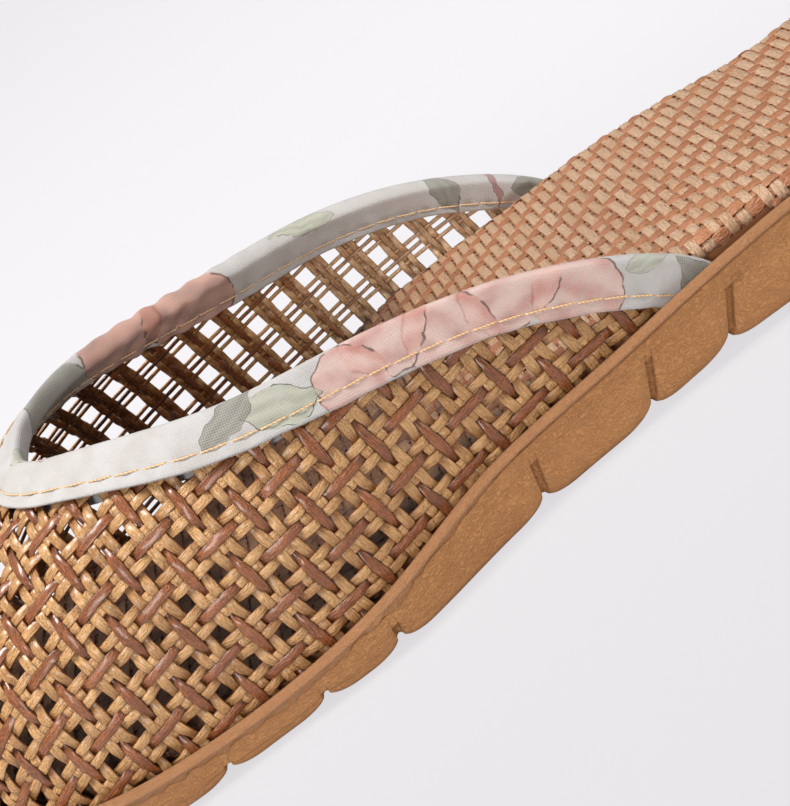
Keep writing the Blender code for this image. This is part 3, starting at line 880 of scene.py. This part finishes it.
def on_lattice(a, b):
    """Points of the mid wall at lattice places, the normals there, and whether the wall reaches so far.

    a = (girth - start) / repeat, with a twist that grows with the girth and along the shoe, and
    b = (run - start) / repeat, bowed by the girth's square. They are solved by turns, as each bends the
    other only a little."""
    girth = LENGTHWISE_START + LENGTHWISE_REPEAT * a
    for _ in range(12):
        g = girth / 50
        run = CROSSWISE_START + CROSSWISE_REPEAT * (b - BOW[0] * g**2 - BOW[1] * g)
        station = np.interp(run, CROWN_RUN, CROWN_STATION)
        twist = TWIST * g**3 + (station - 170) / 100 * (TWIST_ALONG * g + TWIST_CROWN)
        girth = LENGTHWISE_START + LENGTHWISE_REPEAT * (a - twist)
    turn = turn_at(run, girth)
    point = upper_surface(station, turn, MID_WALL)
    by_turn = upper_surface(station, turn + 0.004, MID_WALL) - point
    by_station = point - upper_surface(station - 0.05, turn, MID_WALL)
    inner, outer = (np.interp(run, RUNS, foot) for foot in (INNER_FOOT, OUTER_FOOT))
    inside = (girth < inner - 0.2) & (girth > outer + 0.2)
    inside &= (run > CROWN_RUN[0] + 1) & (run < CROWN_RUN[-1] - 0.6)
    inside &= station > throat(turn) + 1.2 + 1.7 * far_throat(turn)
    return point, unit(np.cross(by_turn, by_station)), inside


def far_share(a):
    """0 on the big-toe side of the weave and 1 on the little-toe side, by the lattice's first coordinate:
    the strips there are narrower, with slits between the lengthwise ones."""
    return eased((FAR_START - LENGTHWISE_START - LENGTHWISE_REPEAT * a) / FAR_OVER)


def crossings(along, pitch):
    """Strips of the other set that lie before and after each place along a strip, as (group, place in
    the group), and how far the place has come from the one to the other."""
    group = np.floor(along)
    local = along - group - 0.5
    number = 3 * group - 1 + (local >= -pitch) + (local >= 0) + (local >= pitch)
    before, after = (np.stack([np.floor(strip / 3), strip % 3]) for strip in (number, number + 1))
    start, stop = (group + 0.5 + (place - 1) * pitch for group, place in (before, after))
    return before, after, (along - start) / (stop - start)


def passes_over(lengthwise, brown, own_group, other):
    """Whether a strip is on top of another, given as (group, place in the group). Lengthwise brown
    floats pass over a whole group where the two groups' numbers add up to an odd number, and under it
    where the sum is even. Lengthwise pale strips pass over only the brown strip of a group in the first
    case, and over only its pale ones in the second. Crosswise strips do the reverse."""
    group, place = other
    odd = (own_group + group) % 2 == 1
    return (odd if brown else odd == (place == 1)) == lengthwise


def cane_strips(name, lengthwise, brown, seed):
    """One set of the upper's strips. Each rises and sinks at its crossings, eased between them. Crosswise
    brown strips are leaves, wide and bulging where they float and drawn in where they dive; the pale
    ones beside them bow apart to make room."""
    span, other_span = LENGTHWISE_GROUPS, CROSSWISE_GROUPS
    own_mm, other_mm = LENGTHWISE_REPEAT, CROSSWISE_REPEAT
    if not lengthwise:
        span, other_span, own_mm, other_mm = other_span, span, other_mm, own_mm
    places = np.array([0.0]) if brown else np.array([-1.0, 1.0])
    groups = np.repeat(np.arange(*span), len(places))[:, None].astype(float)
    place = np.tile(places, len(groups) // len(places))[:, None]
    along = np.arange(*other_span, 1 / SAMPLES)[None]
    along = np.broadcast_to(along, (len(groups), along.shape[1]))

    far = far_share(groups + 0.5) if lengthwise else far_share(along)
    other_far = far if lengthwise else far_share(np.floor(along) + 0.5)
    own_pitch = LENGTHWISE_PITCH + (FAR_LENGTHWISE_PITCH - LENGTHWISE_PITCH) * other_far
    other_pitch = CROSSWISE_PITCH + (FAR_CROSSWISE_PITCH - CROSSWISE_PITCH) * far
    if not lengthwise:
        own_pitch, other_pitch = other_pitch, own_pitch
    before, after, part = crossings(along, other_pitch)
    low, high = (passes_over(lengthwise, brown, groups, other) for other in (before, after))
    over = low + (high.astype(float) - low) * between(part, 0.2)
    # Float is 1 at the middle of a group that the brown strip of this group passes over, 0 where under.
    swing = np.cos(math.pi * (along - 0.5)) * np.where(groups % 2 == 0, 1, -1)
    floats = 0.5 + (-0.5 if lengthwise else 0.5) * swing

    rng = np.random.default_rng(seed)
    wander = (0.07 if lengthwise else 0.12) * waves(along.shape, 14, seed + 1)
    spread = 0.0 if lengthwise else 0.30 * floats - 0.08
    sway = place * spread * (1 - 0.7 * far) + wander * (1 - 0.6 * far)
    own = groups + 0.5 + place * own_pitch + sway / own_mm
    points, normals, inside = on_lattice(own, along) if lengthwise else on_lattice(along, own)

    lift = CANE_HEAVE * (2 * over - 1) * (1 - (0.85 if lengthwise else -0.2) * far)
    if brown:
        lift = lift + ((0.10 if lengthwise else 0.20) * floats**2 - 0.10 * (1 - floats) ** 2) * (1 - far)
    if lengthwise:
        half = (0.71 + 0.1 * floats if brown else 0.75 + 0.05 * over) * (1 - 0.49 * far)
    else:
        half = 0.36 + 0.54 * floats**1.2 if brown else 0.75 + 0.14 * over
        half = half + (0.66 - half) * far
    half = half * (1 + 0.05 * waves(along.shape, 10, seed + 2) * (1 - 0.6 * far))
    thickness = CANE * (1 + 0.12 * waves(along.shape, 12, seed + 3))
    if brown and not lengthwise:
        thickness = thickness * (1 + 0.35 * floats)
    lean = (0.12 if lengthwise else 0.18) * waves(along.shape, 8, seed + 4) * (1 - 0.8 * far)
    points = points + normals * lift[..., None]
    keep = without_stubs(inside)
    made, faces, row, sample, across = ribbons(points, normals, half, thickness, keep, CANE_SECTION, lean)
    uv = np.stack([sample * other_mm / SAMPLES + row * 47.3, across + row * 3.1], axis=1)

    # Tone: each strip's own, with painted shade where it dives and down its edges. Inner faces go from
    # painted light towards the heel to painted shade towards the toe.
    shade = rng.uniform(0, 1, (len(groups), 1)) * 0.45
    shade = shade + 0.55 * (0.5 + 0.5 * waves(along.shape, 16, seed + 5))
    shade = shade * 0.8 + 0.5 * (1 - over) ** 2 - 0.16
    edge = 0.8 - 0.6 * far + 0 * along
    corners = np.array(CANE_SECTION)[:, 1]
    inwards, edges = (np.tile(v, len(row) // len(v)) for v in (corners < -0.5, np.abs(corners - 0.2) < 0.5))
    inner_tone = INNER_PAINTED_LIGHT + (INNER_PAINTED_SHADE - INNER_PAINTED_LIGHT) * eased((made[:, 1] - INNER_START) / INNER_OVER)
    tone = shade[row, sample] + edge[row, sample] * edges + inner_tone * inwards
    obj = add_mesh(name, made, faces, uv=uv, tone=tone)
    return obj


PALE_CANE = display(212, 164, 110), display(138, 83, 38), display(78, 36, 8)
BROWN_CANE = display(170, 100, 56), display(104, 54, 22), display(54, 22, 5)
CANE_GLOSS = {"Roughness": 0.4, "Specular IOR Level": 0.2, "Coat Roughness": 0.28}
pale_lengthwise = cane_strips("upper_lengthwise_pale", True, False, 101)
brown_lengthwise = cane_strips("upper_lengthwise_brown", True, True, 201)
pale_crosswise = cane_strips("upper_crosswise_pale", False, False, 301)
brown_crosswise = cane_strips("upper_crosswise_brown", False, True, 401)
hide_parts("upper")
for cane, colours, varnish, relief in (
    (pale_lengthwise, PALE_CANE, 0.6, 0.0006),
    (brown_lengthwise, BROWN_CANE, 1.0, 0.001),
    (pale_crosswise, PALE_CANE, 0.6, 0.0006),
    (brown_crosswise, BROWN_CANE, 1.0, 0.001),
):
    gloss = {**CANE_GLOSS, "Coat Weight": varnish}
    finish_in_straw(cane.name.replace("upper", "cane"), cane, *colours, relief, gloss)

# ---- Throat binding ---------------------------------------------------------------------------------
# The real piece is a tape of printed cotton twill, folded lengthwise over the upper's cut edge and sewn
# through with tan thread. Its ends go down between the rim, the footbed and the cane.

TAPE_OUT, TAPE_IN = 0.95, -2.55  # the tape's outer and inner faces, from the cane's outer face
TAPE = 0.5
TAPE_WIDTH, TAPE_FOLD = 7.0, 1.0  # from the cane's edge down, and from it up to the fold
PRESSED_OUT, PRESSED_IN = 0.2, -1.9  # the same, where the tape is pressed at its ends
TAPE_STEP = 0.6
STITCH, STITCH_LINE = 4.3, 5.2  # length of a stitch, and how far the seam lies from the cane's edge
STITCH_STEPS = 14
GATHERED = 176.0  # run at which the tape is bunched, round the tighter bend on the little-toe side
STITCH_SLANT = 0.16  # mm across, from one end of a stitch to the other
THREAD = 0.3
THREAD_SECTION = tuple((math.cos(k * math.pi / 3), math.sin(k * math.pi / 3)) for k in range(6))
FACE_PLACES = (1, 0.95, 0.88, 0.8, 0.74, 0.68, 0.6, 0.48, 0.36, 0.24, 0.12, 0)  # shares of the width
BEND_STEPS = 7


def tape_path():
    """The throat's edge at even runs from the inner foot: (runs, stations, turns, and the amounts of
    station and turn in a millimetre of surface square to the edge)."""
    turn = np.linspace(0, math.pi, 1441)
    run = run_of(upper_surface(throat(turn), turn, 0.0))
    runs = np.arange(0, run[-1], TAPE_STEP)
    turn = np.interp(runs, run, turn)
    start = throat(turn)
    at = upper_surface(start, turn, 0.0)
    by_station = upper_surface(start + 1.0, turn, 0.0) - at
    by_turn = (upper_surface(start, turn + 0.01, 0.0) - upper_surface(start, turn - 0.01, 0.0)) / 0.02
    ahead = unit(np.gradient(at, axis=0))
    square = unit(by_station - ahead * (by_station * ahead).sum(axis=1)[:, None])
    ways = np.stack([by_station, by_turn], axis=1)
    grams = np.einsum("nik,njk->nij", ways, ways)
    sides = np.einsum("nik,nk->ni", ways, square)
    return runs, start, turn, np.linalg.solve(grams, sides[:, :, None])[:, :, 0]


TAPE_RUNS, TAPE_STATIONS, TAPE_TURNS, TAPE_SQUARE = tape_path()


def tape_points(width, proud):
    """Points of the tape for each run: width mm in from the cane's edge and proud of the cane's face.
    Near the rim the outer leg draws in to pass behind it, and near the footbed the inner leg does. On
    the little-toe side the tape is folded lower and narrower."""
    width = width + far_throat(TAPE_TURNS[:, None]) * (1.3 - 0.2 * width)
    station = TAPE_STATIONS[:, None] + width * TAPE_SQUARE[:, :1]
    turn = np.clip(TAPE_TURNS[:, None] + width * TAPE_SQUARE[:, 1:], 0, math.pi)
    clear = upper_surface(station, turn, 0.0)[..., 2] - rim(station)
    tight_out, tight_in = (
        MID_WALL + (proud - MID_WALL) / (free - MID_WALL) * (pressed - MID_WALL)
        for free, pressed in ((TAPE_OUT, PRESSED_OUT), (TAPE_IN, PRESSED_IN))
    )
    outer = tight_out + (proud - tight_out) * eased(clear / 2.2)
    inner = tight_in + (proud - tight_in) * eased((clear - RISE) / 2.0)
    share = (np.where(proud > MID_WALL, outer, inner) + 3.0) / 4.0
    inside, outside = upper_surface(station, turn, -3.0), upper_surface(station, turn, 1.0)
    return inside + (outside - inside) * share[..., None]


def tape_profile():
    """Closed section of the folded tape, down its outer face last: (place across, proud) from the outer
    hem over the fold to the inner hem, and back through the inside. Widths are shares of TAPE_WIDTH."""
    centre, reach = (TAPE_OUT + TAPE_IN) / 2, (TAPE_OUT - TAPE_IN) / 2
    face = np.array(FACE_PLACES)
    bend = np.linspace(0, math.pi, BEND_STEPS + 2)[1:-1]
    width = [face, -TAPE_FOLD / TAPE_WIDTH * np.sin(bend), face[::-1], [1.02], [1, 0.5, 0], [-0.07]]
    width += [[0, 0.5, 1], [1.02]]
    proud = [0 * face + TAPE_OUT, centre + reach * np.cos(bend), 0 * face + TAPE_IN, [TAPE_IN + TAPE / 2]]
    proud += [[TAPE_IN + TAPE] * 3, [centre], [TAPE_OUT - TAPE] * 3, [TAPE_OUT - TAPE / 2]]
    return np.concatenate(width), np.concatenate(proud)


def puckers(width):
    """How far the tape's faces are pulled in round the seam: a shallow valley along it, deeper at each
    needle hole, with faint drag lines between."""
    away = width - STITCH_LINE
    beat = np.cos(math.pi * TAPE_RUNS / STITCH)[:, None] ** 2
    return (0.10 + 0.26 * beat**6) * bell(away, 0.55) + 0.07 * (beat - 0.5) * bell(away, 2.0)


def binding():
    """The tape: its profile carried along the throat's edge, with uneven hems, slack faces, gathers and
    the seam's puckers. Also the place of each point of the profile across the tape, laid flat."""
    share, proud = tape_profile()
    ragged = 0.26 * uneven(TAPE_RUNS, 9.0, 61) + 0.12 * uneven(TAPE_RUNS, 3.5, 62)
    width = share * TAPE_WIDTH + np.clip(share, 0, 1) ** 2 * ragged[:, None]
    facing = np.where(proud > MID_WALL, 1.0, -1.0)
    on_face = np.isclose(proud, TAPE_OUT) | np.isclose(proud, TAPE_IN)
    flare = np.clip(share, 0, 1) ** 3 * (0.12 + 0.22 * uneven(TAPE_RUNS, 5.0, 63))[:, None]
    slack = 0.10 * uneven(TAPE_RUNS, 14.0, 64)[:, None] * np.sin(math.pi * np.clip(share, 0, 1))
    gathers = np.sin(2 * math.pi * (TAPE_RUNS[:, None] / 5.2 + 0.7 * share))
    slack = slack + 0.25 * bell(TAPE_RUNS - GATHERED, 14)[:, None] * gathers
    points = tape_points(width, proud + facing * (flare + slack - puckers(width) * on_face))
    runs, count = points.shape[:2]
    i, j = np.meshgrid(np.arange(runs - 1), np.arange(count), indexing="ij")
    k = (j + 1) % count
    faces = np.stack([i * count + j, (i + 1) * count + j, (i + 1) * count + k, i * count + k], axis=-1)
    faces = faces.reshape(-1, 4).tolist()
    faces += [list(range(count)), [(runs - 1) * count + c for c in reversed(range(count))]]
    across = run_of(points[runs // 2])
    uv = np.stack(np.broadcast_arrays(TAPE_RUNS[:, None], across), axis=-1).reshape(-1, 2)
    return add_mesh("throat_tape", points.reshape(-1, 3), faces, uv=uv), across


tape, TAPE_ACROSS = binding()
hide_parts("throat_binding")


def seam(name, face, seed):
    """Thread on one face of the tape: it lies on the cloth between needle holes and dives into them.
    Each stitch slants a little across the seam."""
    outwards = 1.0 if face == TAPE_OUT else -1.0
    steps = np.arange(0, TAPE_RUNS[-1], STITCH / STITCH_STEPS)
    beat = steps / STITCH - 0.5
    along = beat - np.floor(beat)
    dive = np.abs(2 * along - 1) ** 12
    share = (STITCH_SLANT * (along - 0.5) + 0.3) / 0.6
    sides = np.array([[STITCH_LINE - 0.3, STITCH_LINE + 0.3]])  # lines 0.3 mm to either side
    lines = []
    for lift in (0.0, outwards):
        rows = tape_points(sides, np.full((1, 2), face + lift))
        low, high = (np.array([np.interp(steps, TAPE_RUNS, v) for v in rows[:, s].T]).T for s in (0, 1))
        lines.append(low * (1 - share)[:, None] + high * share[:, None])
    normal = unit(lines[1] - lines[0])
    centre = lines[0] + normal * (THREAD * 0.22 - 0.62 * dive)[:, None]
    half = np.full((1, len(steps)), THREAD / 2) * (1 + 0.10 * waves((1, len(steps)), 9, seed))
    made, faces, row, sample, across = ribbons(
        centre[None], normal[None], half, THREAD * 0.9, half > 0, THREAD_SECTION
    )
    uv = np.stack([sample * STITCH / STITCH_STEPS, across], axis=1)
    obj = add_mesh(name, made, faces, uv=uv)
    shader = add_material("tan_thread", obj, {"Roughness": 0.55, "Sheen Weight": 0.3})
    waving = {"Vector": mesh_uv(shader), "Scale": 0.9, "Distortion": 0.4}
    plies = field(shader.id_data, "ShaderNodeTexWave", "Fac", waving, bands_direction="DIAGONAL")
    colour = blend(plies, display(196, 154, 104), display(228, 192, 146))
    drive(shader, Base_Color=colour, Normal=bumped(plies, 0.6, 0.00008))
    return obj


outer_seam = seam("throat_seam_outside", TAPE_OUT, 71)
inner_seam = seam("throat_seam_inside", TAPE_IN, 72)

# Print: soft blossoms and leaves, larger than the tape, so each is cut by its edges. The roses are deeper
# blossoms where the tape is gathered, their dark colours partly the print's own and partly painted shade.
# Columns: what it is, run along the tape, place across it from the outer hem, half length, half width, and
# turn in degrees.
PRINT = (
    ("dark leaf", 3.0, 4.5, 6.0, 3.0, 35.0),
    ("leaf", 12.5, 7.2, 3.6, 1.8, -20.0),
    ("petal", 23.5, 3.0, 7.5, 7.0, 20.0),
    ("petal", 33.5, 6.5, 8.5, 6.6, -28.0),
    ("petal", 44.0, 2.0, 8.0, 7.0, 50.0),
    ("petal", 53.5, 6.5, 7.2, 6.4, -12.0),
    ("petal", 60.5, 2.0, 5.6, 5.6, 25.0),
    ("leaf", 71.5, 3.6, 6.5, 3.2, 10.0),
    ("dark leaf", 79.0, 4.6, 6.0, 2.2, -32.0),
    ("petal", 112.0, 11.0, 5.0, 4.0, 15.0),
    ("leaf", 122.0, 9.0, 6.5, 3.0, -12.0),
    ("dark leaf", 149.0, 12.5, 11.0, 8.5, 8.0),
    ("rose", 166.5, 11.0, 9.0, 8.5, -15.0),
    ("rose", 181.0, 13.0, 10.5, 8.0, 25.0),
    ("leaf", 208.0, 9.0, 7.0, 2.4, 10.0),
    ("dark leaf", 236.0, 12.0, 6.5, 2.6, 70.0),
    ("stem", 246.0, 12.0, 7.0, 0.8, 75.0),
    ("dark leaf", 255.0, 11.0, 6.5, 4.0, -15.0),
)
PRINT_COLOURS = {
    "petal": (display(213, 174, 163), display(177, 98, 84)),
    # The roses' deeper colours are partly the print's own and partly painted shade.
    "rose": (display(190, 124, 98), display(130, 66, 46)),
    "leaf": (display(168, 172, 150), display(124, 130, 108)),
    "dark leaf": (display(110, 112, 96), display(70, 72, 60)),
    "stem": (display(140, 66, 62), display(112, 48, 46)),
}
OUTLINE = display(46, 40, 36)


def printed_shape(place, run, across, length, width, turn, pointed):
    """One printed shape on the tape's map: round for a petal and pointed for a leaf, with an edge that
    wavers. Its size is 1 at the edge: sqrt(p^2 + q^2) if round and |q| + p^2 if pointed, where p and q
    are shares of its half length and half width. Gives the shape, its outline and its veins."""
    waver = combine_vectors("SUBTRACT", noise(place, 0.32, output="Color"), (0.5, 0.5, 0.5))
    waver = combine_vectors("MULTIPLY", waver, (2.6, 2.6, 2.6))
    moved = combine_vectors("ADD", place, waver)
    at = add_node(tree_of(moved), "ShaderNodeSeparateXYZ", {0: moved}).outputs
    x, y = Field(at["X"]) - run, Field(at["Y"]) - across
    turn = combine("RADIANS", turn)
    c, s = combine("COSINE", turn), combine("SINE", turn)
    p, q = (x * c + y * s) / length, (y * c - x * s) / width
    size = combine("SQRT", p * p + q * q) * (1.0 - pointed) + (abs(q) + p * p) * pointed
    ring = 1.0 - ramp(abs(size - 0.97), 0.01, 0.035)
    broken = ramp(noise(place, 0.35, detail=1.0), 0.44, 0.52)
    veins = combine("SINE", q * 9.0 + p * p * 3.0) * 0.5 + 0.5
    return 1.0 - ramp(size, 0.97, 1.03), ring * broken, veins


PRINT_PLACING = ("Run", "Across", "Length", "Width", "Turn", "Pointed")
PRINTED_SHAPE = shader_group(
    "Printed shape",
    {"Map": "Vector"} | dict.fromkeys(PRINT_PLACING, "Float"),
    dict.fromkeys(("Shape", "Outline", "Shade"), "Float"),
    printed_shape,
)
shader = add_material("printed_cotton_twill", tape, {"Roughness": 0.85, "Sheen Weight": 0.25})
mapped = mesh_uv(shader)
cloud = noise(mapped, 0.22, detail=3.0)
weaving = {"Vector": mapped, "Scale": 0.9, "Distortion": 0.3}
warp, weft = (
    field(shader.id_data, "ShaderNodeTexWave", "Fac", weaving, bands_direction=way) for way in ("X", "Y")
)
twill = warp * weft
colour = blend(ramp(cloud, 0.3, 0.7), display(185, 184, 184), display(175, 171, 169))
for what, *placing in PRINT:
    placing.append(0.0 if what in ("petal", "rose") else 1.0)
    printed = use_group(shader, PRINTED_SHAPE, {"Map": mapped, **dict(zip(PRINT_PLACING, placing))})
    dyed = blend((printed["Shade"] * (cloud * 1.6 - 0.2)).clamped(), *PRINT_COLOURS[what])
    colour = blend(printed["Shape"] * (twill * 0.4 + 0.6), colour, dyed)
    colour = blend(printed["Outline"] * 0.85, colour, OUTLINE)
colour = blend(twill * -0.3 + 0.22, colour, display(164, 154, 146))
cloth = twill * 0.7 + noise(mapped, 4.0) * 0.5
drive(shader, Base_Color=colour, Normal=bumped(cloth, 0.7, 0.0001))

# ---- Studio -----------------------------------------------------------------------------------------
# A plain pale floor without an edge in view, an even pale surround and three soft lights: one above and
# towards the toe, a small low one on the big-toe side towards the toe, and a weak one off the heel. The
# camera looks across the throat from the big-toe side, rolled.

AIM = (-0.88, 152.5, 15.75)  # point looked at, in the shoe's own millimetres
CAMERA_AZIMUTH, CAMERA_ELEVATION, CAMERA_ROLL, CAMERA_DISTANCE = -85.475, 22.886, -39.577, 263.28
LENS, SENSOR = 71.76, 36.0


def place_camera():
    """The camera stands off the aim by its distance, at an azimuth that is 0 from the heel and -90 from
    the big-toe side, and then rolls about its line of sight."""
    azimuth, elevation, roll = (math.radians(v) for v in (CAMERA_AZIMUTH, CAMERA_ELEVATION, CAMERA_ROLL))
    level = math.cos(elevation)
    back = np.array([math.sin(azimuth) * level, -math.cos(azimuth) * level, math.sin(elevation)])
    right = unit(np.cross(-back, (0, 0, 1.0)))
    up = np.cross(right, -back)
    right, up = right * math.cos(roll) + up * math.sin(roll), up * math.cos(roll) - right * math.sin(roll)
    camera = bpy.data.objects.new("camera", bpy.data.cameras.new("camera"))
    camera.data.lens, camera.data.sensor_width, camera.data.sensor_fit = LENS, SENSOR, "HORIZONTAL"
    camera.data.clip_start, camera.data.clip_end = 0.01, 50.0
    camera.location = (np.array(AIM) + back * CAMERA_DISTANCE - ORIGIN) * MM
    camera.rotation_euler = Matrix(np.stack([right, up, back], axis=1).tolist()).to_euler()
    bpy.context.scene.collection.objects.link(camera)
    bpy.context.scene.camera = camera


def area_light(name, place, size, watts):
    """A square warm light that faces the middle of the shoe."""
    made = bpy.data.objects.new(name, bpy.data.lights.new(name, "AREA"))
    made.data.size, made.data.energy, made.data.color = size, watts, (1.0, 0.98, 0.95)
    made.location = place
    made.rotation_euler = (Vector((0, 0, 0.02)) - Vector(place)).to_track_quat("-Z", "Y").to_euler()
    bpy.context.scene.collection.objects.link(made)


place_camera()
area_light("overhead", (-0.12, 0.42, 1.12), 0.36, 17.0)
area_light("side_fill", (-0.92, 0.42, 0.36), 0.32, 4.2)
area_light("heel_fill", (-0.5, -0.95, 0.5), 0.8, 4.2)

bpy.ops.mesh.primitive_plane_add(size=12.0)
floor = bpy.context.object
floor.name = "floor"
shader = add_material("pale_floor", floor, {"Roughness": 0.9, "Specular IOR Level": 0.1})
shader.inputs["Emission Color"].default_value = display(240, 238, 241)

# The floor's glow rises behind the shoe. Only the camera sees it, and over a darker paint.
behind = field(shader.id_data, "ShaderNodeSeparateXYZ", "X", {0: object_place(shader)})
seen = field(shader.id_data, "ShaderNodeLightPath", "Is Camera Ray")
glow = (ramp(behind, -0.16, 0.2) * 0.175 + 0.742) * seen
drive(shader, Base_Color=blend(seen, display(190, 189, 191), display(85, 84, 86)), Emission_Strength=glow)

world = bpy.data.worlds.new("studio")
world.use_nodes = True
background = world.node_tree.nodes["Background"]
background.inputs["Color"].default_value = (0.94, 0.95, 0.97, 1.0)
background.inputs["Strength"].default_value = 0.34
bpy.context.scene.world = world
bpy.context.scene.view_settings.view_transform = "Standard"
